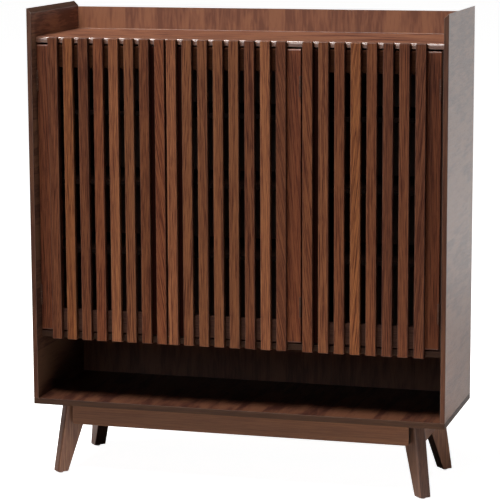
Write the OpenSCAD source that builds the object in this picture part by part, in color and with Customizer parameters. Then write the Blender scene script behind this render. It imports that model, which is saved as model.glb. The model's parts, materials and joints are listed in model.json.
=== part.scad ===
// Slatted shoe cabinet: three hinged doors over an open bay, on four splayed blade legs.
// Units are millimetres. +Z is up, the doors face -Y, and the origin is on the floor at the
// centre of the cabinet's footprint.

/* [Case] */
// Overall width across the two side panels
case_w = 1060; // [960:10:1200]
// Overall depth of the side panels
case_d = 342; // [320:1:400]
// Overall height from the floor to the top of the side panels
case_h = 1185; // [1100:1:1300]
// Thickness of the side panels, the divider and the loose shelves
side_t = 12; // [12:0.5:18]
// Thickness of the top panel, the bottom panel and the fixed shelf
board_t = 15; // [15:0.5:22]
// Thickness of the two back sheets
back_t = 6; // [3:0.5:8]
// Height of the side panels above the top panel
gallery_h = 71.5; // [40:0.5:120]
// Clear height of the open bay under the doors
bay_h = 154.5; // [120:0.5:200]
// How far the top panel and the fixed shelf stand behind the side panels' front edges
board_setback = 33; // [33:0.5:40]
// Radius of the top panel's upper front edge
nose_r = 7; // [2:0.5:10]
// How far the back sheets end below the side panels' tops
back_drop = 14; // [5:0.5:30]
// Thickness of the strip that carries the right door's hinges
hinge_strip_t = 9.5; // [4:0.5:20]
// Depth of that strip, front to back
hinge_strip_d = 33; // [31:0.5:60]

/* [Shelves] */
// Loose shelves in each compartment
shelf_count = 3; // [1:1:3]
// Clear height of the lowest space behind the doors
first_space_h = 196.5; // [160:0.5:220]
// Distance from one loose shelf to the next
shelf_pitch = 176; // [150:1:180]
// How far the loose shelves stand behind the side panels' front edges
shelf_setback = 77; // [70:1:120]
// Clearance at each end of a loose shelf
shelf_play = 1; // [0.5:0.5:2]

/* [Doors] */
// Front of the door frames, behind the side panels' front edges
frame_y = 32; // [30:0.5:32]
// Thickness of the door frames
frame_t = 15; // [12:0.5:16]
// Width of the stiles and rails
member_w = 55; // [45:1:70]
// Gap under the door frames
gap_below = 3.3; // [2:0.1:6]
// Gap over the door frames
gap_above = 4.9; // [2:0.1:8]
// Gap between a door's hinged edge and what carries it
hinge_gap = 2; // [2:0.1:3]
// Gap between the left door and the middle door
meeting_gap = 2.5; // [2:0.1:5]
// Gap between the middle door and the right door
divider_gap = 6; // [5:0.5:8]

/* [Slats] */
// Slats on each door
slat_count = 8; // [6:1:8]
// Width of a slat
slat_w = 25; // [20:0.5:28]
// Depth of a slat
slat_t = 15; // [10:0.5:15]
// Bare width of the hinged stile beside the slats
bare_stile_w = 33.7; // [33:0.1:45]
// Bare width of the free stile beside the slats
free_margin = 1.4; // [1:0.1:3]
// How far the slats reach above the door frame
slat_rise = 18.4; // [10:0.1:18.4]
// How far the slats reach below the door frame
slat_drop = 19.3; // [10:0.1:25]

/* [Base] */
// Height of the legs over their glides
leg_h = 178.5; // [140:0.5:200]
// Thickness of a leg blade
leg_t = 32; // [24:0.5:34]
// Width of a leg blade at its foot
leg_foot_w = 28.5; // [20:0.5:32]
// Width of a leg blade at its top
leg_top_w = 66; // [50:1:66]
// How far a leg's outer edge leans out between its top and its foot
leg_lean = 29.5; // [15:0.1:30]
// Foot's outer edge from the side panel's outer face
leg_side_inset = 47.8; // [45:0.1:60]
// Foot's outer edge from the front or rear of the case
leg_front_inset = 19.7; // [16:0.1:24]
// Height of the aprons
apron_h = 53.5; // [40:0.5:70]
// Thickness of the aprons
apron_t = 15; // [12:0.5:15]
// Front apron behind the case's front
apron_front_inset = 27; // [24:0.5:30]
// Side apron from the side panel's outer face
apron_side_inset = 63; // [60:0.5:66]
// Radius of the aprons' lower corners
apron_r = 5; // [2:0.5:12]
// Radius of a foot glide
glide_r = 6; // [5:0.5:9]
// Thickness of a foot glide
glide_t = 4.5; // [2:0.5:5]

/* [Hardware] */
// Length of a hinge
hinge_len = 50; // [40:1:70]
// Centre of a hinge from the nearer end of its door
hinge_inset = 90; // [60:1:120]
// Outer radius of a hinge knuckle
knuckle_r = 2.5; // [2:0.1:2.5]
// Radius of a hinge pin
pin_r = 1.2; // [0.8:0.1:1.4]
// Radius of a dowel
dowel_r = 3; // [2:0.5:4]
// Length of a dowel
dowel_len = 30; // [25:1:35]
// Radius of a shelf pin
shelf_pin_r = 2.5; // [2:0.5:3]

/* [Hidden] */
$fn = 48;
door_names = ["left", "middle", "right"];

walnut = "#6e4a35";
walnut_light = "#8a6148";
walnut_dark = "#4e3426";
bronze = "#4a3c30";
steel = "#9a9a98";
beech = "#c8a878";
felt = "#d8d2c8";

// Heights of the case
bottom_z = glide_t + leg_h;
bay_z = bottom_z + board_t;
shelf_z = bay_z + bay_h;
door_zone_z = shelf_z + board_t;
top_z = case_h - gallery_h - board_t;
back_y = case_d - back_t;

// Widths of the doors and the divider
free_span = case_w - 2 * side_t - hinge_strip_t - 2 * hinge_gap - meeting_gap - divider_gap;
door_w = free_span / 3;
door_x = [
    side_t + hinge_gap,
    side_t + hinge_gap + door_w + meeting_gap,
    side_t + hinge_gap + 2 * door_w + meeting_gap + divider_gap
];
divider_x = door_x[2] - divider_gap / 2 - side_t / 2;
divider_air = 1;
divider_y = frame_y + frame_t + divider_air;

// Heights inside a door
door_z = door_zone_z + gap_below;
door_h = top_z - gap_above - door_z;
slat_h = door_h + slat_rise + slat_drop;
slat_pitch = (door_w - bare_stile_w - free_margin - slat_w) / (slat_count - 1);

// Hinges: +1 where the door runs to the right of its hinges, -1 where it runs to the left
hinge_side = [1, -1, -1];
hinge_edge_x = [door_x[0], door_x[1] + door_w, door_x[2] + door_w];
leaf_t = 0.9;
leaf_air = 0.3;
running_clearance = 0.05;
axis_inset = knuckle_r - hinge_gap + leaf_air;
axis_y = frame_y - knuckle_r - leaf_air;
case_leaf_grip = 14;
case_leaf_reach = divider_y + case_leaf_grip;
leaf_end_margin = 0.5;
door_leaf_reach = frame_y + frame_t - leaf_end_margin;
knuckle_len = hinge_len / 3;
knuckle_air = 0.2;
hinge_z = [door_z + hinge_inset, door_z + door_h - hinge_inset];

// Catches
catch_size = [30, 14, 14];
catch_from_edge = 24;
strike_t = 1.2;

// Dowels stand in rows, front to back
panel_bite = 7;
board_bite = 9;
front_row = 72;
rear_row = 56;
row_y = [front_row, case_d / 2, case_d - rear_row];
divider_front_row = 92;
divider_row_y = [divider_front_row, case_d - rear_row];
apron_bite_spacing = case_w / 3;
side_apron_spacing = case_d / 6;

// Places of the leg dowels, as shares of the leg's top width
leg_dowel_at = [0.3, 0.75];

// Loose shelves
pin_bite = 5.5;
pin_len = 13.5;
pin_play = 0.05;
pin_from_edge = 36;
shelf_pin_y = [shelf_setback + pin_from_edge, back_y - pin_from_edge];
left_bay = [side_t, divider_x];
right_bay = [divider_x + side_t, case_w - side_t];

function loose_shelf_z(i) = door_zone_z + first_space_h + i * shelf_pitch;

// ---- Placing ----

module in_frame() {
    translate([-case_w / 2, -case_d / 2, 0]) children();
}

module mirror_x(on) {
    translate([on ? case_w : 0, 0, 0]) mirror([on ? 1 : 0, 0, 0]) children();
}

module mirror_y(on) {
    translate([0, on ? case_d : 0, 0]) mirror([0, on ? 1 : 0, 0]) children();
}

module board(from, to) {
    translate(from) cube(to - from);
}

// ---- Dowels ----

module dowel_up(at, bite_below) {
    translate([at[0], at[1], at[2] - bite_below]) cylinder(h = dowel_len, r = dowel_r);
}

module dowel_across(at, bite) {
    translate([at[0] - bite, at[1], at[2]]) rotate([0, 90, 0]) cylinder(h = dowel_len, r = dowel_r);
}

module side_dowels() {
    for (right = [false, true]) mirror_x(right) for (y = row_y) {
        dowel_across([side_t, y, top_z + board_t / 2], panel_bite);
        dowel_across([side_t, y, shelf_z + board_t / 2], panel_bite);
        dowel_up([side_t / 2, y, bay_z], board_bite);
    }
}

module divider_dowels() {
    for (y = divider_row_y) {
        dowel_up([divider_x + side_t / 2, y, door_zone_z], board_bite);
        dowel_up([divider_x + side_t / 2, y, top_z], dowel_len - board_bite);
    }
}

module base_dowels() {
    for (rear = [false, true]) mirror_y(rear) for (s = [-1, 0, 1]) {
        x = case_w / 2 + s * apron_bite_spacing;
        dowel_up([x, apron_front_inset + apron_t / 2, bottom_z], dowel_len - board_bite);
    }
    for (right = [false, true]) mirror_x(right) for (s = [-1, 1]) {
        y = case_d / 2 + s * side_apron_spacing;
        dowel_up([apron_side_inset + apron_t / 2, y, bottom_z], dowel_len - board_bite);
    }
    for (right = [false, true]) mirror_x(right) for (rear = [false, true]) mirror_y(rear)
        leg_axes() for (s = leg_dowel_at) {
            r = leg_lean + s * leg_top_w;
            dowel_up([r, 0, bottom_z], dowel_len - board_bite);
        }
}

module dowels() {
    color(beech) in_frame() {
        side_dowels();
        divider_dowels();
        base_dowels();
    }
}

// ---- Case ----

module side_panel(right) {
    color(walnut) in_frame() difference() {
        mirror_x(right) rotate([90, 0, 0]) mirror([0, 0, 1]) linear_extrude(case_d)
            polygon([[0, bay_z], [side_t, bay_z], [side_t, case_h - side_t], [0, case_h]]);
        side_dowels();
        shelf_pin_set();
    }
}

module side_panel_left() {
    side_panel(false);
}

module side_panel_right() {
    side_panel(true);
}

// Board section with its upper front edge rounded
module nosed_section(depth, thickness, r) {
    translate([r, 0]) square([depth - r, thickness]);
    square([depth, thickness - r]);
    translate([r, thickness - r]) circle(r);
}

module top_panel() {
    color(walnut_light) in_frame() difference() {
        translate([side_t, board_setback, top_z]) rotate([90, 0, 90])
            linear_extrude(case_w - 2 * side_t) nosed_section(back_y - board_setback, board_t, nose_r);
        side_dowels();
        divider_dowels();
    }
}

module bottom_panel() {
    color(walnut) in_frame() difference() {
        board([0, 0, bottom_z], [case_w, case_d, bay_z]);
        side_dowels();
        base_dowels();
    }
}

module fixed_shelf() {
    color(walnut) in_frame() difference() {
        board([side_t, board_setback, shelf_z], [case_w - side_t, back_y, door_zone_z]);
        side_dowels();
        divider_dowels();
    }
}

module divider() {
    color(walnut) in_frame() difference() {
        board([divider_x, divider_y, door_zone_z], [divider_x + side_t, back_y, top_z]);
        divider_dowels();
        shelf_pin_set();
        case_leaves(1);
    }
}

module back_panel(x0, x1) {
    color(walnut_light) in_frame()
        board([x0, back_y, bay_z], [x1, case_d, case_h - back_drop]);
}

module back_panel_left() {
    back_panel(side_t, divider_x + side_t / 2);
}

module back_panel_right() {
    back_panel(divider_x + side_t / 2, case_w - side_t);
}

module hinge_strip() {
    x = case_w - side_t - hinge_strip_t;
    color(walnut_dark) in_frame()
        board([x, frame_y, door_zone_z], [x + hinge_strip_t, frame_y + hinge_strip_d, top_z]);
}

// ---- Loose shelves ----

module loose_shelves() {
    color(walnut) in_frame() for (i = [0 : shelf_count - 1]) for (bay = [left_bay, right_bay])
        board([bay[0] + shelf_play, shelf_setback, loose_shelf_z(i)],
              [bay[1] - shelf_play, back_y - 1, loose_shelf_z(i) + side_t]);
}

module shelf_pin_set() {
    for (i = [0 : shelf_count - 1]) for (y = shelf_pin_y) for (bay = [left_bay, right_bay]) {
        z = loose_shelf_z(i) - shelf_pin_r - pin_play;
        translate([bay[0] - pin_bite, y, z]) rotate([0, 90, 0]) cylinder(h = pin_len, r = shelf_pin_r);
        translate([bay[1] + pin_bite, y, z]) rotate([0, -90, 0]) cylinder(h = pin_len, r = shelf_pin_r);
    }
}

module shelf_pins() {
    color(steel) in_frame() shelf_pin_set();
}

// ---- Base ----

// Apron outline with its two lower corners rounded
module apron_outline(w) {
    translate([0, apron_r]) square([w, apron_h - apron_r]);
    translate([apron_r, 0]) square([w - 2 * apron_r, apron_r]);
    for (x = [apron_r, w - apron_r]) translate([x, apron_r]) circle(apron_r);
}

// Aprons end where their inner corners meet the legs' broad faces
half_leg = leg_t / sqrt(2);
leg_offset = leg_side_inset - leg_front_inset;
apron_fit = 0.15;
front_apron_x = apron_front_inset + apron_t + leg_offset + half_leg + apron_fit;
side_apron_y = apron_side_inset + apron_t - leg_offset + half_leg + apron_fit;

module long_apron() {
    w = case_w - 2 * front_apron_x;
    translate([front_apron_x, apron_front_inset + apron_t, bottom_z - apron_h]) rotate([90, 0, 0])
        linear_extrude(apron_t) apron_outline(w);
}

module short_apron() {
    w = case_d - 2 * side_apron_y;
    translate([apron_side_inset, side_apron_y, bottom_z - apron_h]) rotate([90, 0, 90])
        linear_extrude(apron_t) apron_outline(w);
}

module apron_front() {
    color(walnut) in_frame() difference() {
        long_apron();
        base_dowels();
    }
}

module apron_rear() {
    color(walnut) in_frame() difference() {
        mirror_y(true) long_apron();
        base_dowels();
    }
}

module apron_left() {
    color(walnut) in_frame() difference() {
        short_apron();
        base_dowels();
    }
}

module apron_right() {
    color(walnut) in_frame() difference() {
        mirror_x(true) short_apron();
        base_dowels();
    }
}

// Front left leg's own axes: X runs inward along the blade, from the foot's outer edge
module leg_axes() {
    translate([leg_side_inset, leg_front_inset, 0]) rotate([0, 0, 45]) children();
}

module leg(right, rear) {
    color(walnut_dark) in_frame() difference() {
        mirror_x(right) mirror_y(rear) leg_axes() translate([0, leg_t / 2, glide_t]) rotate([90, 0, 0])
            linear_extrude(leg_t)
            polygon([[0, 0], [leg_foot_w, 0], [leg_lean + leg_top_w, leg_h], [leg_lean, leg_h]]);
        base_dowels();
    }
}

module leg_front_left() {
    leg(false, false);
}

module leg_front_right() {
    leg(true, false);
}

module leg_rear_left() {
    leg(false, true);
}

module leg_rear_right() {
    leg(true, true);
}

module foot_glides() {
    color(felt) in_frame() for (right = [false, true]) mirror_x(right)
        for (rear = [false, true]) mirror_y(rear)
            leg_axes() translate([leg_foot_w / 2, 0, 0]) cylinder(h = glide_t, r = glide_r);
}

// ---- Hinges ----

// Hinge axes: X runs into the door from its hinged edge, and the other leaf lies at negative X
module at_hinges(d) {
    for (z = hinge_z) translate([hinge_edge_x[d], 0, z]) mirror([hinge_side[d] < 0 ? 1 : 0, 0, 0])
        children();
}

module knuckle(low, high, r) {
    translate([axis_inset, axis_y, low]) cylinder(h = high - low, r = r);
}

module case_leaf_blank() {
    x = -hinge_gap;
    board([x, frame_y + leaf_air, -hinge_len / 2], [x + leaf_t, case_leaf_reach, hinge_len / 2]);
}

module case_leaf() {
    x = -hinge_gap;
    difference() {
        union() {
            case_leaf_blank();
            for (s = [-1, 1]) {
                low = s < 0 ? -hinge_len / 2 : knuckle_len / 2 + knuckle_air;
                high = low + knuckle_len - knuckle_air;
                knuckle(low, high, knuckle_r);
                board([x, axis_y, low], [x + leaf_t, frame_y + 1, high]);
            }
        }
        knuckle(-hinge_len / 2, hinge_len / 2, pin_r);
    }
}

module door_leaf() {
    reach = knuckle_len / 2 - knuckle_air;
    difference() {
        union() {
            board([-leaf_t, frame_y + leaf_air, -hinge_len / 2], [0, door_leaf_reach, hinge_len / 2]);
            knuckle(-reach, reach, knuckle_r);
            board([-leaf_t, axis_y, -reach], [0, frame_y + 1, reach]);
        }
        knuckle(-hinge_len / 2, hinge_len / 2, pin_r + running_clearance);
    }
}

module case_leaves(d) {
    at_hinges(d) case_leaf_blank();
}

module hinge_case_leaves() {
    color(bronze) in_frame() for (d = [0 : 2]) at_hinges(d) case_leaf();
}

module hinge_pins() {
    color(steel) in_frame() for (d = [0 : 2]) at_hinges(d) knuckle(-hinge_len / 2, hinge_len / 2, pin_r);
}

module door_hinge_leaves(d) {
    color(bronze) in_frame() at_hinges(d) door_leaf();
}

module magnetic_catches() {
    color(bronze) in_frame() for (d = [0 : 2]) {
        free_x = hinge_edge_x[d] + hinge_side[d] * door_w;
        x = free_x - hinge_side[d] * (catch_from_edge + catch_size[0] / 2) - catch_size[0] / 2;
        translate([x, frame_y + frame_t + strike_t, top_z - catch_size[2]]) cube(catch_size);
    }
}

// ---- Doors ----

function stile_x(d, hinged) = hinged == (hinge_side[d] > 0) ? door_x[d] : door_x[d] + door_w - member_w;

function first_slat_x(d) = door_x[d] + (hinge_side[d] > 0 ? bare_stile_w : free_margin);

module door_stile(d, hinged) {
    x = stile_x(d, hinged);
    color(walnut) in_frame()
        board([x, frame_y, door_z], [x + member_w, frame_y + frame_t, door_z + door_h]);
}

module door_rails(d) {
    x0 = door_x[d] + member_w;
    x1 = door_x[d] + door_w - member_w;
    color(walnut_dark) in_frame() for (z = [door_z, door_z + door_h - member_w])
        board([x0, frame_y, z], [x1, frame_y + frame_t, z + member_w]);
}

module door_slat(d, i) {
    x = first_slat_x(d) + (i - 1) * slat_pitch;
    z = door_z - slat_drop;
    color(i % 2 == 0 ? walnut : walnut_light) in_frame()
        board([x, frame_y - slat_t, z], [x + slat_w, frame_y, z + slat_h]);
}

// ---- Drawing ----

side_panel_left();
side_panel_right();
top_panel();
bottom_panel();
fixed_shelf();
divider();
back_panel_left();
back_panel_right();
hinge_strip();
loose_shelves();
shelf_pins();
dowels();
apron_front();
apron_rear();
apron_left();
apron_right();
leg_front_left();
leg_front_right();
leg_rear_left();
leg_rear_right();
foot_glides();
hinge_case_leaves();
hinge_pins();
magnetic_catches();
for (d = [0 : 2]) {
    door = str("door_", door_names[d]);
    door_stile(d, true);
    door_stile(d, false);
    door_rails(d);
    door_hinge_leaves(d);
    for (i = [1 : slat_count])
        door_slat(d, i);
}
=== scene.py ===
"""Looks of the slatted walnut shoe cabinet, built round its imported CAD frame. Lengths are in metres."""
import json
import math
import random

import bmesh
import bpy
from mathutils import Matrix, Vector

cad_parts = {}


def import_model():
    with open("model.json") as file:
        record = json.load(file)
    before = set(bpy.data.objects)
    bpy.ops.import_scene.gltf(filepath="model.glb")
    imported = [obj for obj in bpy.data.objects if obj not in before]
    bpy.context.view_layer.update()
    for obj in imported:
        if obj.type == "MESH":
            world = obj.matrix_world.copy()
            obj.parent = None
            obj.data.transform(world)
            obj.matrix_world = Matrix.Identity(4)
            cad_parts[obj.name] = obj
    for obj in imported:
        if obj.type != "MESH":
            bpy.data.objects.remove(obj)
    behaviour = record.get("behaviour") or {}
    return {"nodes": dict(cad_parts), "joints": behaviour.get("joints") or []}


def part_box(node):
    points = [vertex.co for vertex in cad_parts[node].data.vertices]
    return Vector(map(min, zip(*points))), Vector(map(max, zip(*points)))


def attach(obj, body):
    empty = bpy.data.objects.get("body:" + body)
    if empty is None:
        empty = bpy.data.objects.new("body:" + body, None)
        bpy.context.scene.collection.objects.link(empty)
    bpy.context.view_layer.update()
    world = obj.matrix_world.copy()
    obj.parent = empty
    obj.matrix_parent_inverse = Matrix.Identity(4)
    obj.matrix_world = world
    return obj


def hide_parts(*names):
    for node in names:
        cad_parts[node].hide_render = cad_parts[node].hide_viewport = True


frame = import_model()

MM = 0.001
DOORS = ("left", "middle", "right")
SLATS = range(1, 9)
LEGS = ("front_left", "front_right", "rear_left", "rear_right")
# An edge that turns further than this isn't shaded smooth, and is one of those that are eased
SHARP = math.radians(40)
UP = Vector((0.0, 0.0, 1.0))
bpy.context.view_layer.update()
chance = random.Random(7)


# ---------------------------------------------------------------- node helpers

class Graph:
    """A node tree that is written one call per node."""

    def __init__(self, tree):
        self.tree = tree

    def feed(self, socket, value):
        if isinstance(value, bpy.types.NodeSocket):
            self.tree.links.new(value, socket)
        else:
            socket.default_value = value

    def node(self, kind, inputs=None, **settings):
        made = self.tree.nodes.new(kind)
        for key, value in settings.items():
            setattr(made, key, value)
        for key, value in (inputs or {}).items():
            self.feed(made.inputs[key], value)
        return made

    def math(self, operation, a, b=0.0, clamp=False):
        return self.node("ShaderNodeMath", {0: a, 1: b}, operation=operation, use_clamp=clamp).outputs[0]

    def vector(self, operation, a, b):
        return self.node("ShaderNodeVectorMath", {0: a, 1: b}, operation=operation).outputs[0]

    def noise(self, vector, detail=2.0, output="Fac"):
        made = self.node("ShaderNodeTexNoise", {"Vector": vector, "Scale": 1.0, "Detail": detail})
        return made.outputs[output]

    def stretched(self, at, across, along, detail=2.0, output="Fac"):
        """Noise with so many spots a metre across the grain and along it."""
        return self.noise(self.vector("MULTIPLY", at, (across, across, along)), detail, output)

    def line_noise(self, w, scale, detail=2.0):
        made = self.node("ShaderNodeTexNoise", {"Scale": scale, "Detail": detail}, noise_dimensions="1D")
        self.feed(made.inputs["W"], w)
        return made.outputs["Fac"]

    def chance(self, w):
        made = self.node("ShaderNodeTexWhiteNoise", noise_dimensions="1D")
        self.feed(made.inputs["W"], w)
        return made.outputs

    def span(self, value, low, high, to_low=0.0, to_high=1.0, smooth=False):
        made = self.node("ShaderNodeMapRange", {"Value": value, "From Min": low, "From Max": high,
                                                "To Min": to_low, "To Max": to_high})
        if smooth:
            made.interpolation_type = "SMOOTHSTEP"
        return made.outputs["Result"]

    def swing(self, value, amount):
        """A 0 to 1 value as a swing about zero."""
        return self.math("MULTIPLY", self.math("SUBTRACT", value, 0.5), amount)

    def mix(self, factor, a, b):
        made = self.node("ShaderNodeMix", data_type="RGBA")
        for socket, value in ((made.inputs[0], factor), (made.inputs[6], a), (made.inputs[7], b)):
            self.feed(socket, value)
        return made.outputs[2]


def toned(colour, factor, lift=0.0):
    """A colour made darker or lighter by a factor, then paler by lift."""
    return [c * factor + lift for c in colour]


def rgba(colour, factor=1.0):
    return (*(min(1.0, max(0.0, c * factor)) for c in colour), 1.0)


def new_material(name):
    material = bpy.data.materials.new(name)
    material.use_nodes = True
    return material, Graph(material.node_tree), material.node_tree.nodes["Principled BSDF"]


# ---------------------------------------------------------------- wood

def walnut_figure():
    """Node group: walnut with its grain along Z, its face in XZ and the tree's heart on the Z axis.

    Leaf is the width of one leaf of veneer, and 0 for a solid board. Figure is how strongly the growth rings
    show, and Gloss the lowest roughness."""
    tree = bpy.data.node_groups.new("walnut_figure", "ShaderNodeTree")
    for name, kind in (("Vector", "Vector"), ("Light", "Color"), ("Mid", "Color"), ("Dark", "Color"),
                       ("Figure", "Float"), ("Gloss", "Float"), ("Leaf", "Float"), ("Seed", "Float")):
        tree.interface.new_socket(name, in_out="INPUT", socket_type="NodeSocket" + kind)
    for name, kind in (("Color", "Color"), ("Roughness", "Float"), ("Height", "Float"), ("Tone", "Float")):
        tree.interface.new_socket(name, in_out="OUTPUT", socket_type="NodeSocket" + kind)
    g = Graph(tree)
    given = g.node("NodeGroupInput").outputs

    # Veneer: each leaf has a heart and a tone of its own
    x, y, z = g.node("ShaderNodeSeparateXYZ", {0: given["Vector"]}).outputs
    veneered = g.math("GREATER_THAN", given["Leaf"], 0.0)
    leaf = g.math("FLOOR", g.math("DIVIDE", x, g.math("MAXIMUM", given["Leaf"], 0.001)))
    leaf_chance = g.chance(g.math("ADD", leaf, given["Seed"]))
    leaf_middle = g.math("MULTIPLY", g.math("ADD", leaf, 0.5), given["Leaf"])
    middle = g.math("ADD", leaf_middle, g.swing(leaf_chance["Value"], 0.05))
    own_x = g.math("SUBTRACT", x, g.math("MULTIPLY", middle, veneered))
    own_z = g.math("ADD", z, g.math("MULTIPLY", leaf_chance["Value"], 3.0))
    at = g.node("ShaderNodeCombineXYZ", {0: own_x, 1: y, 2: own_z}).outputs[0]
    leaf_tone = g.math("MULTIPLY", g.swing(leaf_chance["Value"], 0.6), veneered)

    # The trunk sways: slow bends, then short ripples
    slow = g.vector("SUBTRACT", g.stretched(at, 3.0, 1.2, 1.0, "Color"), (0.5, 0.5, 0.5))
    quick = g.vector("SUBTRACT", g.stretched(at, 24.0, 7.0, 2.0, "Color"), (0.5, 0.5, 0.5))
    swayed = g.vector("ADD", at, g.vector("MULTIPLY", slow, (0.07, 0.07, 0.0)))
    swayed = g.vector("ADD", swayed, g.vector("MULTIPLY", quick, (0.014, 0.014, 0.0)))
    flat = g.vector("MULTIPLY", swayed, (1.0, 1.0, 0.0))
    radius = g.node("ShaderNodeVectorMath", {0: flat}, operation="LENGTH").outputs["Value"]

    # Growth rings of uneven width, finer lines inside them, streaks, fibres and open pores
    ring = g.span(g.line_noise(radius, 170.0), 0.38, 0.62, smooth=True)
    lines = g.line_noise(radius, 800.0, 1.0)
    streak = g.stretched(swayed, 55.0, 2.2, 3.0)
    grain = g.stretched(swayed, 190.0, 16.0, 3.0)
    fibre = g.stretched(at, 600.0, 10.0)
    pore = g.span(g.stretched(at, 1250.0, 38.0, 1.0), 0.60, 0.72)
    cloud = g.stretched(at, 26.0, 9.0, 3.0)

    # Tone from 0, dark, to 1, light
    tone = g.math("ADD", 0.5, g.math("MULTIPLY", g.math("SUBTRACT", ring, 0.5), given["Figure"]))
    swings = ((streak, 1.3), (grain, 2.3), (lines, 0.4), (cloud, 2.4), (fibre, 0.6))
    for part in [g.swing(value, amount) for value, amount in swings] + [leaf_tone]:
        tone = g.math("ADD", tone, part)
    colour = g.mix(g.span(tone, 0.0, 0.5), given["Dark"], given["Mid"])
    colour = g.mix(g.span(tone, 0.5, 1.0), colour, given["Light"])
    colour = g.mix(g.math("MULTIPLY", pore, 0.4), colour, given["Dark"])

    roughness = g.math("ADD", given["Gloss"], g.math("MULTIPLY", fibre, 0.12))
    roughness = g.math("ADD", roughness, g.math("MULTIPLY", pore, 0.12))
    out = g.node("NodeGroupOutput")
    g.feed(out.inputs["Color"], colour)
    g.feed(out.inputs["Roughness"], roughness)
    g.feed(out.inputs["Height"], g.math("SUBTRACT", g.math("MULTIPLY", fibre, 0.5), pore))
    g.feed(out.inputs["Tone"], tone)
    return tree


FIGURE = walnut_figure()


def tint(colour, step):
    """The same wood lighter and more golden with a step of 1, or darker and more purple with one of -1."""
    towards = (1.40, 1.50, 1.35) if step > 0 else (0.42, 0.36, 0.44)
    return rgba([c * (1.0 + abs(step) * (t - 1.0)) for c, t in zip(colour, towards)])


def follow(g, height, stops):
    """A factor that follows stops, each a height and the factor there."""
    factor = stops[0][1]
    for (low, at_low), (high, at_high) in zip(stops, stops[1:]):
        factor = g.math("ADD", factor, g.span(height, low, high, 0.0, at_high - at_low))
    return factor


def walnut(name, colour, grain="Z", across="X", heart=None, slant=0.0, figure=0.5, contrast=1.0, gloss=0.36,
           specular=0.12, leaf=0.0, end_grain_and_shade=0.45, flank_shade=1.0, relief=0.35, painted_light=((0.0, 1.0),), seed=None):
    """Oiled walnut. heart moves the board within the tree: across its face, through it and along its grain.

    slant is how far the figure runs across the face for each metre along it. end_grain_and_shade darkens the
    ends of the board, as oiled end grain is darker, and near black it paints the shade of a gap onto them.
    flank_shade darkens the board's two narrow sides, which is painted shade. relief is the depth of the grain
    to the touch. leaf and seed are the width of the veneer's leaves and the start of their tones.
    painted_light lists how light and glossy the wood is at each height: painted light and sheen. It copies
    how the photograph's light falls on a panel, and isn't in the wood."""
    material, g, shader = new_material(name)
    if heart is None:
        heart = (chance.uniform(-0.04, 0.04), chance.uniform(0.03, 0.12), chance.uniform(0.0, 40.0))
    through = (set("XYZ") - {grain, across}).pop()
    coordinates = g.node("ShaderNodeTexCoord").outputs
    axes = g.node("ShaderNodeSeparateXYZ", {0: coordinates["Object"]}).outputs
    drifted = g.math("ADD", axes[across], g.math("MULTIPLY", axes[grain], slant))
    place = g.node("ShaderNodeCombineXYZ", {0: drifted, 1: axes[through], 2: axes[grain]}).outputs[0]
    wood = g.node("ShaderNodeGroup", node_tree=FIGURE)
    settings = {
        "Vector": g.vector("ADD", place, heart),
        "Light": tint(colour, contrast),
        "Mid": rgba(colour),
        "Dark": tint(colour, -contrast),
        "Figure": figure,
        "Gloss": gloss,
        "Leaf": leaf,
        "Seed": chance.uniform(0.0, 90.0) if seed is None else seed,
    }
    for key, value in settings.items():
        g.feed(wood.inputs[key], value)

    # End grain drinks the oil and is darker. The same mask paints shade: near black ends in a shaded gap, and
    # darker narrow sides.
    facing = g.node("ShaderNodeSeparateXYZ", {0: coordinates["Normal"]}).outputs
    shown = wood.outputs["Color"]
    for axis, factor in ((grain, end_grain_and_shade), (across, flank_shade)):
        if factor < 1.0:
            turned = g.span(g.math("ABSOLUTE", facing[axis]), 0.6, 0.9)
            shown = g.mix(turned, shown, rgba(colour, factor))
    raised = {"Height": wood.outputs["Height"], "Strength": relief, "Distance": 0.2 * MM}
    bump = g.node("ShaderNodeBump", raised)
    # Dark figure shines a little less. The export drops this link and takes the shader's default instead.
    sheen = g.span(wood.outputs["Tone"], 0.0, 1.0, 0.94 * specular, 1.04 * specular)
    # Painted light and sheen: the colour and the specular level are scaled by height.
    if len(painted_light) > 1:
        factor = follow(g, axes["Z"], painted_light)
        shown = g.node("ShaderNodeVectorMath", {0: shown, "Scale": factor}, operation="SCALE").outputs[0]
        sheen = g.math("MULTIPLY", sheen, factor)
    g.feed(shader.inputs["Base Color"], shown)
    g.feed(shader.inputs["Roughness"], wood.outputs["Roughness"])
    g.feed(shader.inputs["Normal"], bump.outputs[0])
    g.feed(shader.inputs["Specular IOR Level"], sheen)
    return material


def speckled(name, colour, roughness, metallic=0.0, grain=900.0, depth=0.05 * MM, worn=None, specular=0.5):
    """Metal, plastic or felt with a fine grain in its colour, gloss and surface."""
    material, g, shader = new_material(name)
    place = g.node("ShaderNodeTexCoord").outputs["Object"]
    fine = g.noise(g.vector("MULTIPLY", place, (grain, grain, grain)), 3.0)
    broad = g.noise(g.vector("MULTIPLY", place, (60.0, 60.0, 60.0)), 2.0)
    dark, light = rgba(colour, 0.8), rgba(worn or colour, 1.15)
    g.feed(shader.inputs["Base Color"], g.mix(g.span(fine, 0.3, 0.7), dark, light))
    g.feed(shader.inputs["Roughness"], g.span(broad, 0.2, 0.8, roughness - 0.08, roughness + 0.12))
    bump = g.node("ShaderNodeBump", {"Height": fine, "Strength": 0.4, "Distance": depth})
    g.feed(shader.inputs["Normal"], bump.outputs[0])
    shader.inputs["Metallic"].default_value = metallic
    shader.inputs["Specular IOR Level"].default_value = specular
    return material


# Walnut runs from umber to honey. These are the tones of its boards.
TONES = {
    "umber": (0.119, 0.041, 0.022),
    "brown": (0.147, 0.050, 0.025),
    "russet": (0.162, 0.055, 0.026),
    "tan": (0.192, 0.070, 0.033),
    "chestnut": (0.194, 0.062, 0.029),
    "honey": (0.221, 0.076, 0.031),
    "amber": (0.265, 0.096, 0.045),
}
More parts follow.
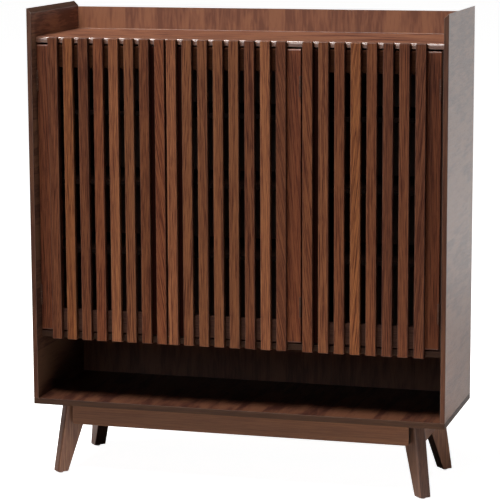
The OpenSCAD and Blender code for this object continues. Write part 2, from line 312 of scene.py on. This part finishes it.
# Each door's slats from left to right, and how far their figure runs across in a metre
SLAT_TONES = {
    "left": "brown honey brown chestnut amber tan russet chestnut",
    "middle": "amber tan tan tan tan brown amber brown",
    "right": "russet tan russet honey russet umber brown umber",
}
SLAT_SLANTS = {
    "left": (-0.02, 0.01, 0.03, -0.04, 0.00, 0.02, -0.03, 0.16),
    "middle": (0.00, -0.06, 0.02, 0.01, -0.02, 0.02, 0.00, 0.18),
    "right": (0.12, 0.01, 0.02, -0.10, 0.01, -0.02, 0.02, -0.08),
}
# The stiles' brown and how light each stile is against it: partly each stile's own tone, partly painted
# light. The front of a free stile lies behind the gap between two slats, and its near black stands for the
# deep shadow that the photograph shows there.
STILE = (0.142, 0.043, 0.020)
STILE_SHADE = (0.019, 0.004, 0.002)
STILE_TONE_AND_LIGHT = {
    "left": {"hinged": 1.15, "free": 1.4},
    "middle": {"hinged": 1.4, "free": 1.4},
    "right": {"hinged": 0.95, "free": 1.3},
}
# The rails and the boards of the case. RAIL_TOP, RAIL_BOTTOM, MITRE, INSIDE and SHELF_BAND are painted darker
# than the wood: painted shade between the slats, inside the case and on the mitre.
SIDE_OUT = (0.260, 0.105, 0.060)
SIDE_IN = (0.200, 0.094, 0.058)
EDGE = (0.108, 0.042, 0.023)
TOP = (0.138, 0.053, 0.032)
GALLERY = (0.222, 0.088, 0.048)
BOTTOM = (0.078, 0.029, 0.017)
RAIL_TOP = (0.048, 0.015, 0.006)
RAIL_BOTTOM = (0.082, 0.036, 0.024)
MITRE = (0.060, 0.030, 0.020)
INSIDE = (0.028, 0.013, 0.009)
SHELF_BAND = (0.045, 0.021, 0.013)
EDGE_BAND = (0.057, 0.024, 0.012)
# ARRIS and NOSING are paler than the wood, painted highlights on top of their real gloss. The bead's pale
# colour is a painted highlight.
ARRIS = (0.15, 0.085, 0.060)
NOSING = (0.17, 0.075, 0.048)
BEAD_HIGHLIGHT = (0.20, 0.10, 0.065)
# The base. A leg's outer edge is painted darker than its broad faces, and its inward faces near black, which
# is painted shade under the case. The tones and sheens follow the photograph, in which each leg catches the
# light differently: each leg's tone is painted light and shade.
APRON = (0.174, 0.069, 0.031)
LEG = (0.200, 0.092, 0.054)
LEG_EDGE = (0.115, 0.050, 0.030)
LEG_INNER_SHADE = (0.030, 0.014, 0.010)
LEG_PAINTED_LIGHT = {"front_left": 1.05, "front_right": 0.68, "rear_left": 1.2, "rear_right": 1.2}
LEG_SHEEN = {"front_left": 0.12, "front_right": 0.45, "rear_left": 0.12, "rear_right": 0.12}


# ---------------------------------------------------------------- pieces in mesh code

def add_piece(name, bm, materials, body, replaced=()):
    """Makes a piece that moves with its body and stands for the CAD nodes that it replaces."""
    bmesh.ops.recalc_face_normals(bm, faces=bm.faces)
    for edge in bm.edges:
        edge.smooth = edge.calc_face_angle(0.0) < SHARP
    mesh = bpy.data.meshes.new(name)
    bm.to_mesh(mesh)
    bm.free()
    for polygon in mesh.polygons:
        polygon.use_smooth = True
    for material in materials:
        mesh.materials.append(material)
    piece = bpy.data.objects.new(name, mesh)
    bpy.context.scene.collection.objects.link(piece)
    normals = piece.modifiers.new("normals", "WEIGHTED_NORMAL")
    normals.keep_sharp = True
    normals.weight = 100
    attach(piece, body)
    if replaced:
        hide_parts(*replaced)
    return piece


def prism(outline, length, place=None):
    """A solid with that outline in its XY plane, from z = 0 to length, then moved by place."""
    bm = bmesh.new()
    face = bm.faces.new([bm.verts.new((x, y, 0.0)) for x, y in outline])
    grown = bmesh.ops.extrude_face_region(bm, geom=[face])["geom"]
    far = [v for v in grown if isinstance(v, bmesh.types.BMVert)]
    bmesh.ops.translate(bm, vec=(0.0, 0.0, length), verts=far)
    if place is not None:
        bmesh.ops.transform(bm, matrix=place, verts=bm.verts)
    bmesh.ops.recalc_face_normals(bm, faces=bm.faces)
    return bm


def block(low, high):
    """A plain block between two opposite corners."""
    outline = [(low[0], low[1]), (high[0], low[1]), (high[0], high[1]), (low[0], high[1])]
    return prism(outline, high[2] - low[2], Matrix.Translation((0.0, 0.0, low[2])))


def paint(bm, material, axis, sign=0):
    """Gives that material to the faces that look along an axis, on one side of it or, with 0, on both."""
    for face in bm.faces:
        look = face.normal["XYZ".index(axis)]
        if abs(look) > 0.9 and look * sign >= 0:
            face.material_index = material


def soften(bm, radius, edges=None, segments=3, material=None):
    """Rounds edges, all of them by default, and can give the new faces a material."""
    chosen = list(bm.edges) if edges is None else edges
    made = bmesh.ops.bevel(bm, geom=chosen, offset=radius, segments=segments, profile=0.5,
                           affect="EDGES", clamp_overlap=True)
    if material is not None:
        for face in made["faces"]:
            face.material_index = material
    bm.normal_update()


def edges_at(bm, **fixed):
    """The edges that lie wholly at given coordinates, as x=, y= or z=."""
    places = [("xyz".index(axis), value) for axis, value in fixed.items()]
    return [e for e in bm.edges if all(abs(v.co[k] - value) < 1e-6 for v in e.verts for k, value in places)]


def lathe(bm, profile, at, axis, sides=20):
    """A turned solid: profile is (radius, height) pairs along axis, from at. A radius of zero closes it."""
    turn = UP.rotation_difference(Vector(axis)).to_matrix()
    rings = []
    for radius, height in profile:
        angles = [2 * math.pi * k / sides for k in range(sides)] if radius > 0 else [0.0]
        places = [Vector((radius * math.cos(a), radius * math.sin(a), height)) for a in angles]
        rings.append([bm.verts.new(Vector(at) + turn @ place) for place in places])
    for a, b in zip(rings, rings[1:]):
        for k in range(sides):
            corners = [a[k % len(a)], a[(k + 1) % len(a)], b[(k + 1) % len(b)], b[k % len(b)]]
            bm.faces.new([v for i, v in enumerate(corners) if v not in corners[:i]])


# ---------------------------------------------------------------- materials of the boards

# A board sawn just beside the heart, and the painted light by which the side panels lighten from the base up
# in the photograph
CLEAR = (0.0, 0.05, 0.0)
PAINTED_LIGHT_OUT = ((0.2, 0.74), (0.7, 0.98), (1.18, 1.04))
PAINTED_LIGHT_IN = ((0.2, 0.5), (0.36, 0.52), (1.0, 0.9), (1.10, 0.95), (1.13, 1.5))

side_out = walnut("walnut_side_out", SIDE_OUT, "Y", "Z", CLEAR, contrast=0.5, gloss=0.28, specular=0.88,
                  leaf=0.16, painted_light=PAINTED_LIGHT_OUT)
side_in = walnut("walnut_side_in", SIDE_IN, "Y", "Z", CLEAR, contrast=0.7, leaf=0.16, painted_light=PAINTED_LIGHT_IN)
side_edge = walnut("walnut_side_edge", EDGE, "Z", "Y", contrast=0.5, end_grain_and_shade=1.0)
arris = walnut("walnut_arris", ARRIS, "Z", "X", contrast=0.6, gloss=0.26, specular=0.5, end_grain_and_shade=1.0)
board_top = walnut("walnut_top", TOP, "X", "Y", CLEAR, contrast=1.1, gloss=0.38, specular=0.08, leaf=0.12)
nosing = walnut("walnut_nosing", NOSING, "X", "Z", contrast=0.4, gloss=0.16, specular=0.62, relief=0.02)
board_back = walnut("walnut_back", GALLERY, "Z", "X", CLEAR, figure=0.15, contrast=0.5, gloss=0.40,
                    specular=0.10, leaf=0.043)
board_bottom = walnut("walnut_bottom", BOTTOM, "Y", "X", CLEAR, contrast=0.9, gloss=0.38, specular=0.1,
                      leaf=0.07)
board_shelf = walnut("walnut_shelf", BOTTOM, "X", "Y", contrast=0.6)
# board_inside, board_divider, rail_top, rail_bottom, shelf_band and mitre are painted dark: painted shade.
board_inside = walnut("walnut_inside", INSIDE, "X", "Y", contrast=0.6, gloss=0.5, specular=0.05)
board_divider = walnut("walnut_divider", INSIDE, "Z", "Y", contrast=0.6, gloss=0.5, specular=0.05)
rail_top = walnut("walnut_rail_top", RAIL_TOP, "X", "Z", contrast=0.6, specular=0.015)
rail_bottom = walnut("walnut_rail_bottom", RAIL_BOTTOM, "X", "Z", contrast=0.6, specular=0.05)
shelf_band = walnut("walnut_shelf_band", SHELF_BAND, "X", "Z", contrast=0.5, specular=0.05)
edge_band = walnut("walnut_edge_band", EDGE_BAND, "X", "Z", contrast=0.5, gloss=0.34, specular=0.15,
                   end_grain_and_shade=1.0)
mitre = walnut("walnut_mitre", MITRE, "Y", "X", contrast=0.5, end_grain_and_shade=1.0)
bead_highlight = walnut("walnut_bead_highlight", BEAD_HIGHLIGHT, "X", "Z", contrast=1.2, gloss=0.30, specular=0.3)
stile_shade = walnut("walnut_stile_shade", STILE_SHADE, heart=(0.0, 0.19, 3.0), contrast=0.6, specular=0.01,
                     seed=0.0)
beech = walnut("beech", (0.50, 0.34, 0.20), "X", "Y", CLEAR, figure=0.2, contrast=0.4, end_grain_and_shade=0.8)
steel = speckled("steel", (0.55, 0.55, 0.54), 0.32, metallic=1.0)
bronze = speckled("bronze", (0.085, 0.036, 0.022), 0.55, worn=(0.11, 0.055, 0.036), specular=0.12)
pad = speckled("glide_pad", (0.72, 0.66, 0.62), 0.6, grain=1800.0)
catch_plastic = speckled("catch_plastic", (0.05, 0.035, 0.026), 0.5)
# The screws' cross recesses are painted near black, painted shade.
recess = speckled("recess", (0.012, 0.010, 0.009), 0.6)


# ---------------------------------------------------------------- CAD nodes that keep their shape

def dress(node, material, edge=None, width=0.8 * MM):
    """Gives a CAD node its material and eases its edges, which can have a material of their own."""
    piece = frame["nodes"][node]
    piece.data.materials.clear()
    piece.data.materials.append(material)
    weld = piece.modifiers.new("weld", "WELD")
    weld.merge_threshold = 0.01 * MM
    if width:
        bevel = piece.modifiers.new("bevel", "BEVEL")
        bevel.width = width
        bevel.segments = 3
        bevel.limit_method = "ANGLE"
        bevel.angle_limit = SHARP
        if edge is not None:
            piece.data.materials.append(edge)
            bevel.material = 1


def slats(eased=1.3 * MM):
    """Each slat has a tone and a place in the tree of its own. Its eased edges catch more light."""
    for door in DOORS:
        lighter = 1.1 if door == "right" else 1.0
        for number, tone, slant in zip(SLATS, SLAT_TONES[door].split(), SLAT_SLANTS[door]):
            colour = toned(TONES[tone], lighter)
            node = f"door_{door}_slat_{number}"
            low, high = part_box(node)
            offset = chance.uniform(-0.03, 0.03) - (low.x + high.x) / 2 - slant * (low.z + high.z) / 2
            heart = (offset, chance.uniform(0.17, 0.23), chance.uniform(0, 40))
            figure = chance.uniform(0.4, 0.9)
            # The slats' narrow sides are painted darker, painted shade in the gaps between the slats.
            face = walnut(f"walnut_{node}", colour, heart=heart, slant=slant, figure=figure, specular=0.03,
                          flank_shade=0.45)
            # worn means no wear here: the eased edges get a darker, greyer copy of the colour, a painted
            # sheen on top of their real gloss.
            worn = walnut(f"walnut_{node}_edge", toned(colour, 0.75, 0.015), heart=heart, slant=slant,
                          contrast=0.6, gloss=0.3, specular=0.12)
            dress(node, face, worn, eased)


def plain_nodes(thin=0.6 * MM):
    """The sheets, inner boards and fittings, whose CAD shape is already right."""
    for node in ("back_panel_left", "back_panel_right"):
        dress(node, board_back, arris, thin)
    dress("hinge_strip", board_divider)
    dress("loose_shelves", board_inside, board_inside)
    fittings = {"shelf_pins": steel, "hinge_pins": steel, "hinge_case_leaves": bronze, "dowels": beech}
    for node, material in fittings.items():
        dress(node, material, width=0)
    for door in DOORS:
        dress(f"door_{door}_hinge_leaves", bronze, width=0)
    dress("magnetic_catches", catch_plastic, catch_plastic)
    dress("foot_glides", pad, pad, thin)


slats()
plain_nodes()


# ---------------------------------------------------------------- door frames

def stile(door, end, lip, side):
    """A stile with its outer front edges rounded. A free stile's front has the dark of the gap before it."""
    node = f"door_{door}_stile_{end}"
    low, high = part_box(node)
    rails_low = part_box(f"door_{door}_rails")[0]
    outer_x = low.x if low.x < rails_low.x else high.x
    heart = (chance.uniform(-0.03, 0.03) - low.x, chance.uniform(0.17, 0.22), chance.uniform(0, 40))
    slant = chance.uniform(-0.08, 0.08)
    colour = toned(STILE, STILE_TONE_AND_LIGHT[door][end])
    wood = walnut(f"walnut_{node}", colour, heart=heart, slant=slant, specular=0.05)
    # The rounded lips get a greyer copy of the colour, a painted sheen on top of their real gloss.
    lips = walnut(f"walnut_{node}_lip", toned(colour, 0.9, 0.012), heart=heart, contrast=0.5, gloss=0.3,
                  specular=0.3, end_grain_and_shade=0.9)
    bm = block(low, high)
    soften(bm, lip, edges_at(bm, y=low.y, z=low.z) + edges_at(bm, y=low.y, z=high.z), 5, 1)
    soften(bm, side, edges_at(bm, y=low.y, x=outer_x), 4, 1)
    if end == "free":
        for face in bm.faces:
            if face.normal.y < -0.3:
                face.material_index = 2
    materials = [wood, lips, stile_shade]
    add_piece(f"{node}_member", bm, materials, f"door_{door}", [node])


def door_frames(lip=4.0 * MM, side=2.5 * MM):
    """Stiles and rails. The outer front edges are rounded more at the top and bottom than at the sides."""
    for door in DOORS:
        for end in ("hinged", "free"):
            stile(door, end, lip, side)
        rails(door, lip)


def rails(door, lip, width=55.0 * MM):
    """The bottom and top rails as one piece. Both are painted darker than the stiles, the top one near black:
    painted shade behind the slats.
    """
    node = f"door_{door}_rails"
    low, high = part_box(node)
    bm = bmesh.new()
    for index, bottom in enumerate((low.z, high.z - width)):
        part = block((low.x, low.y, bottom), (high.x, high.y, bottom + width))
        outer = low.z if bottom == low.z else high.z
        soften(part, lip, edges_at(part, y=low.y, z=outer), 5)
        for face in part.faces:
            face.material_index = index
        mesh = bpy.data.meshes.new("part")
        part.to_mesh(mesh)
        part.free()
        bm.from_mesh(mesh)
        bpy.data.meshes.remove(mesh)
    add_piece(f"{node}_members", bm, [rail_bottom, rail_top], f"door_{door}", [node])


door_frames()


# ---------------------------------------------------------------- case boards

def side_panel(side):
    """A side panel, mitred along its top so that the edge falls inward. Each face has its own material."""
    node = f"side_panel_{side}"
    low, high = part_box(node)
    thick = high.x - low.x
    outline = [(0.0, low.z), (thick, low.z), (thick, high.z - thick), (0.0, high.z)]
    facing = 1.0 if side == "left" else -1.0
    start = low.x if side == "left" else high.x
    place = Matrix(((facing, 0, 0, start), (0, 0, 1, low.y), (0, 1, 0, 0), (0, 0, 0, 1)))
    bm = prism(outline, high.y - low.y, place)
    # The sloping mitre face gets the mitre material, which is painted darker: painted shade.
    for face in bm.faces:
        slopes = 0.3 < face.normal.z < 0.9
        face.material_index = 4 if slopes else 1
    paint(bm, 0, "X", -facing)
    paint(bm, 2, "X", facing)
    soften(bm, 0.7 * MM, material=3)
    materials = [side_out, side_edge, side_in, arris, mitre]
    return add_piece(f"{node}_board", bm, materials, "case", [node])


def nosed_outline(depth, thick, radius, steps=8):
    """Board section with its upper front edge rounded, the front at y = 0."""
    arc = [(radius - radius * math.cos(a), thick - radius + radius * math.sin(a))
           for a in (math.pi / 2 * k / steps for k in range(steps + 1))]
    return [(0.0, 0.0)] + arc + [(depth, thick), (depth, 0.0)]


def top_panel(nose=7.0 * MM):
    """The top, with a glossy rounded nose that shows between the slats. The nose is painted paler than the
    top, a painted highlight on top of its real gloss.
    """
    low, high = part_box("top_panel")
    outline = nosed_outline(high.y - low.y, high.z - low.z, nose)
    place = Matrix(((0, 0, 1, low.x), (1, 0, 0, low.y), (0, 1, 0, low.z), (0, 0, 0, 1)))
    bm = prism(outline, high.x - low.x, place)
    for face in bm.faces:
        if face.calc_center_median().y < low.y + nose:
            face.material_index = 1
    return add_piece("top_panel_board", bm, [board_top, nosing], "case", ["top_panel"])


def flat_board(node, face, edge, radius=0.7 * MM, thin="Z"):
    """A plain board of the case with eased corners: its two faces and its edges have their own materials."""
    bm = block(*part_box(node))
    for side in bm.faces:
        side.material_index = 1
    paint(bm, 0, thin)
    soften(bm, radius, material=1)
    return add_piece(f"{node}_board", bm, [face, edge], "case", [node])


def bead(size=1.1 * MM):
    """A fine bead where the gallery's back meets the top, pale to stand for the highlight along that edge: a
    painted highlight.
    """
    top_low, top_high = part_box("top_panel")
    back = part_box("back_panel_left")[0].y
    steps = [(size * math.cos(a), size * math.sin(a)) for a in (math.pi / 2 * k / 5 for k in range(6))]
    place = Matrix(((0, 0, 1, top_low.x), (-1, 0, 0, back), (0, 1, 0, top_high.z), (0, 0, 0, 1)))
    bm = prism([(0.0, 0.0)] + steps, top_high.x - top_low.x, place)
    add_piece("gallery_bead_highlight", bm, [bead_highlight], "case")


side_panel("left")
side_panel("right")
top_panel()
bead()
flat_board("bottom_panel", board_bottom, edge_band, 1.0 * MM)
flat_board("fixed_shelf", board_shelf, shelf_band, 0.8 * MM)
flat_board("divider", board_divider, board_divider, thin="X")


# ---------------------------------------------------------------- base

def apron(where, radius=6.0 * MM, gap=1.2 * MM):
    """An apron with rounded lower corners. A shadow gap parts its ends from the legs, and the ends are
    painted near black, painted shade in that gap.
    """
    node = f"apron_{where}"
    low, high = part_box(node)
    long_way = "X" if high.x - low.x > high.y - low.y else "Y"
    along = "XYZ".index(long_way)
    low[along] += gap
    high[along] -= gap
    bm = block(low, high)
    ends = [e for end in (low, high) for e in edges_at(bm, **{long_way.lower(): end[along], "z": low.z})]
    soften(bm, radius, ends, 6)
    soften(bm, 0.8 * MM, [e for e in bm.edges if e.calc_face_angle(0.0) > SHARP], 2, 1)
    wood = walnut(f"walnut_{node}", APRON, long_way, "Z", contrast=0.4, gloss=0.34, specular=0.2,
                  end_grain_and_shade=0.08)
    eased = walnut(f"walnut_{node}_edge", toned(APRON, 1.1), long_way, "Z", contrast=0.5, gloss=0.3,
                   specular=0.3)
    add_piece(f"{node}_board", bm, [wood, eased], "case", [node])


def leg_blade(low, high, outward, foot_out, foot, top, thick):
    """The leg's bare blade, from foot_out on the floor inward and upward."""
    reach = (high.x - low.x) * math.sqrt(2) - thick
    height = high.z - low.z
    outline = [(0.0, 0.0), (foot, 0.0), (reach, height), (reach - top, height)]
    across = UP.cross(-outward)
    place = Matrix((-outward, UP, across)).transposed().to_4x4()
    place.translation = foot_out - across * thick / 2
    return prism(outline, thick, place)


def leg(corner, foot=28.5 * MM, top=66.0 * MM, thick=32.0 * MM, outer=7.0 * MM, inner=1.5 * MM):
    """A blade set at 45 degrees. Its outer edge leans out to the foot and has rounded corners."""
    node = f"leg_{corner}"
    low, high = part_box(node)
    to_right = "right" in corner
    to_rear = "rear" in corner
    outward = Vector((1.0 if to_right else -1.0, 1.0 if to_rear else -1.0, 0.0)).normalized()
    half = thick / math.sqrt(2) / 2
    foot_x = high.x - half if to_right else low.x + half
    foot_y = high.y - half if to_rear else low.y + half
    foot_out = Vector((foot_x, foot_y, low.z))
    bm = leg_blade(low, high, outward, foot_out, foot, top, thick)
    tall = [e for e in bm.edges if abs(e.verts[0].co.z - e.verts[1].co.z) > (high.z - low.z) / 2]
    tall.sort(key=lambda e: -((e.verts[0].co + e.verts[1].co) / 2).dot(outward))
    outer_edges, inner_edges = tall[:2], tall[2:]
    soften(bm, outer, outer_edges, 6)
    soften(bm, inner, [e for e in inner_edges if e.is_valid], 3)
    soften(bm, 1.0 * MM, edges_at(bm, z=low.z), 2)
    # The inward faces are painted near black, painted shade under the case.
    for face in bm.faces:
        turned = face.normal.dot(outward)
        face.material_index = 1 if turned > 0.75 else 2 if turned < -0.75 else 0
    heart = (chance.uniform(-0.03, 0.03) - foot_x, chance.uniform(0.03, 0.06) - foot_y, chance.uniform(0, 40))
    # tone lightens or darkens the leg as painted light and shade.
    tone = LEG_PAINTED_LIGHT[corner]
    broad = walnut(f"walnut_{node}", toned(LEG, tone), heart=heart, contrast=0.6, gloss=0.30, specular=0.35)
    narrow = walnut(f"walnut_{node}_edge", toned(LEG_EDGE, tone), heart=heart, contrast=0.6, gloss=0.26,
                    specular=LEG_SHEEN[corner])
    inner_shade = walnut(f"walnut_{node}_inner_shade", LEG_INNER_SHADE, heart=heart, contrast=0.6)
    add_piece(f"{node}_blade", bm, [broad, narrow, inner_shade], "case", [node])


for where in ("front", "rear", "left", "right"):
    apron(where)
for corner in LEGS:
    leg(corner)


# ---------------------------------------------------------------- hardware

def screw(bm, at, axis, radius=2.6 * MM, height=0.5 * MM):
    """A low domed screw head, with a cross recess as faces of material 1. The recess is a solid cross painted
    near black, painted shade.
    """
    dome = [(radius, 0.0), (radius * 0.96, height * 0.5), (radius * 0.7, height * 0.85), (0.0, height)]
    lathe(bm, dome, at, axis)
    place = Matrix.Translation(at) @ UP.rotation_difference(Vector(axis)).to_matrix().to_4x4()
    wide, long = radius * 0.14, radius * 0.55
    for arm in ((wide, long), (long, wide)):
        cross = [bm.verts.new(place @ Vector((sx * arm[0], sy * arm[1], z)))
                 for z in (height * 0.3, height * 1.12) for sx, sy in ((-1, -1), (1, -1), (1, 1), (-1, 1))]
        sides = [(4, 5, 6, 7), (0, 3, 2, 1)] + [(k, (k + 1) % 4, (k + 1) % 4 + 4, k + 4) for k in range(4)]
        for corners in sides:
            bm.faces.new([cross[k] for k in corners]).material_index = 1


def hinge_screws(leaf=0.9 * MM, half_length=25.0 * MM, apart=17.0 * MM):
    """Three screws on each leaf that shows when a door opens."""
    for joint in frame["joints"]:
        door = joint["child"]
        hinge_x = joint["pos_m"][0]
        low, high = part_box(f"{door}_hinge_leaves")
        stile_low, stile_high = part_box(f"{door}_stile_hinged")
        left_hung = abs(hinge_x - stile_low.x) < abs(hinge_x - stile_high.x)
        x = stile_low.x - leaf if left_hung else stile_high.x + leaf
        y = (stile_low.y + stile_high.y) / 2
        away = (-1 if left_hung else 1, 0, 0)
        bm = bmesh.new()
        for middle in (low.z + half_length, high.z - half_length):
            for step in (-apart, 0.0, apart):
                screw(bm, (x, y, middle + step), away, 1.9 * MM, 0.12 * MM)
        add_piece(f"{door}_hinge_screws", bm, [bronze, recess], door)


def slat_screws(from_edge=27.5 * MM):
    """Screws through the rails' backs that hold the slats."""
    for door in DOORS:
        low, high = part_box(f"door_{door}_rails")
        bm = bmesh.new()
        for number in SLATS:
            slat_low, slat_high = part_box(f"door_{door}_slat_{number}")
            middle = (slat_low.x + slat_high.x) / 2
            for z in (low.z + from_edge, high.z - from_edge):
                screw(bm, (middle, high.y, z), (0, 1, 0), 3.2 * MM, 0.5 * MM)
        add_piece(f"door_{door}_slat_screws", bm, [steel, recess], f"door_{door}")


def strikes(from_edge=39.0 * MM, half_width=12.0 * MM, thick=0.9 * MM, margin=1.0 * MM):
    """A steel strike plate on the back of each door, opposite its catch."""
    catch_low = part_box("magnetic_catches")[0]
    for door in DOORS:
        rail_low, rail_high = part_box(f"door_{door}_rails")
        stile_low, stile_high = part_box(f"door_{door}_stile_free")
        free_at_right = stile_low.x > rail_low.x
        middle = stile_high.x - from_edge if free_at_right else stile_low.x + from_edge
        plate_low = (middle - half_width, rail_high.y, catch_low.z + margin)
        plate_high = (middle + half_width, rail_high.y + thick, rail_high.z - margin)
        bm = block(plate_low, plate_high)
        soften(bm, 0.3 * MM, segments=2)
        add_piece(f"door_{door}_strike", bm, [steel], f"door_{door}")


def back_nails(spacing=0.12, inset=6.0 * MM):
    """Small nails round the edges of the two back sheets, their heads almost flush."""
    head = [(1.8 * MM, 0.0), (1.7 * MM, 0.25 * MM), (0.0, 0.35 * MM)]
    sunk = 0.15 * MM
    bm = bmesh.new()
    for node in ("back_panel_left", "back_panel_right"):
        low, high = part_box(node)
        rows = max(2, round((high.z - low.z) / spacing))
        columns = max(2, round((high.x - low.x) / spacing))
        spots = [(x, low.z + inset + (high.z - low.z - 2 * inset) * k / rows)
                 for x in (low.x + inset, high.x - inset) for k in range(rows + 1)]
        spots += [(low.x + inset + (high.x - low.x - 2 * inset) * k / columns, z)
                  for z in (low.z + inset, high.z - inset) for k in range(1, columns)]
        for x, z in spots:
            lathe(bm, head, (x, high.y - sunk, z), (0, 1, 0), 10)
    add_piece("back_nails", bm, [steel], "case")


hinge_screws()
slat_screws()
strikes()
back_nails()


# ---------------------------------------------------------------- camera and studio

def camera():
    """A long lens above the cabinet and to its right, looking down at its front."""
    place = (1.5103, -5.3376, 1.5065)
    yaw, down, roll = 0.27676, 0.16658, -0.00397
    data = bpy.data.cameras.new("camera")
    data.lens = 160.46
    data.sensor_width = 36.0
    made = bpy.data.objects.new("camera", data)
    bpy.context.scene.collection.objects.link(made)
    turn = Matrix.Rotation(yaw, 4, "Z") @ Matrix.Rotation(math.pi / 2 - down, 4, "X")
    made.matrix_world = Matrix.Translation(place) @ turn @ Matrix.Rotation(roll, 4, "Z")
    bpy.context.scene.camera = made


def world():
    """A white sweep behind the cabinet and a dark room elsewhere. The camera sees white all round."""
    made = bpy.data.worlds.new("studio")
    bpy.context.scene.world = made
    made.use_nodes = True
    g = Graph(made.node_tree)
    heading = g.node("ShaderNodeTexCoord").outputs["Generated"]
    turned = g.node("ShaderNodeSeparateXYZ", {0: heading}).outputs
    low_down = g.span(turned["Z"], 0.02, 0.22, 1.0, 0.0, smooth=True)
    sweep = g.math("ADD", g.math("MULTIPLY", g.span(turned["Y"], 0.0, 0.7, smooth=True), low_down), 0.012)
    seen = g.node("ShaderNodeLightPath").outputs["Is Camera Ray"]
    g.feed(made.node_tree.nodes["Background"].inputs["Strength"], g.math("MAXIMUM", sweep, seen))
    made.node_tree.nodes["Background"].inputs["Color"].default_value = (1.0, 1.0, 1.0, 1.0)


def area_light(name, at, target, size, power, glossy=True, diffuse=True):
    """A rectangular light aimed at a target, which can be kept out of reflections or diffuse shading."""
    data = bpy.data.lights.new(name, "AREA")
    data.shape = "RECTANGLE"
    data.size, data.size_y = size
    data.energy = power
    made = bpy.data.objects.new(name, data)
    made.location = at
    made.rotation_euler = (Vector(target) - Vector(at)).to_track_quat("-Z", "Y").to_euler()
    made.visible_camera = False
    made.visible_glossy = glossy
    made.visible_diffuse = diffuse
    bpy.context.scene.collection.objects.link(made)


def floor():
    """A pale floor. It glows a little for the camera alone, and fully where it turns up into the sweep."""
    bm = bmesh.new()
    bm.faces.new([bm.verts.new(p) for p in ((-30, -3, 0), (30, -3, 0), (30, 60, 0), (-30, 60, 0))])
    mesh = bpy.data.meshes.new("floor")
    bm.to_mesh(mesh)
    bm.free()
    made = bpy.data.objects.new("floor", mesh)
    bpy.context.scene.collection.objects.link(made)
    material, g, shader = new_material("floor")
    place = g.node("ShaderNodeTexCoord").outputs["Object"]
    depth = g.node("ShaderNodeSeparateXYZ", {0: place}).outputs["Y"]
    sweep = g.span(depth, 1.2, 4.0, 0.0, 0.9, smooth=True)
    seen = g.math("MULTIPLY", g.node("ShaderNodeLightPath").outputs["Is Camera Ray"], 0.97)
    g.feed(shader.inputs["Emission Strength"], g.math("MAXIMUM", sweep, seen))
    shader.inputs["Emission Color"].default_value = (1.0, 1.0, 1.0, 1.0)
    lit = g.span(depth, -1.3, -0.9, smooth=True)
    g.feed(shader.inputs["Base Color"], g.mix(lit, rgba((0.04, 0.04, 0.04)), rgba((0.85, 0.83, 0.82))))
    shader.inputs["Roughness"].default_value = 0.9
    shader.inputs["Specular IOR Level"].default_value = 0.0
    mesh.materials.append(material)


bpy.context.scene.view_settings.view_transform = "Standard"
camera()
world()
floor()
area_light("key", (-1.0, -1.5, 4.9), (0.0, 0.0, 0.7), (3.2, 0.9), 352.0)
area_light("fill", (1.2, -4.8, 1.6), (0.0, 0.0, 0.6), (2.0, 2.0), 3.5, glossy=False)
area_light("softbox", (-1.45, -4.9, 2.4), (0.0, 0.0, 1.1), (2.6, 2.2), 200.0, diffuse=False)
area_light("card", (0.80, -0.50, 0.03), (0.42, 0.10, 0.10), (0.5, 0.1), 1.2, glossy=False)
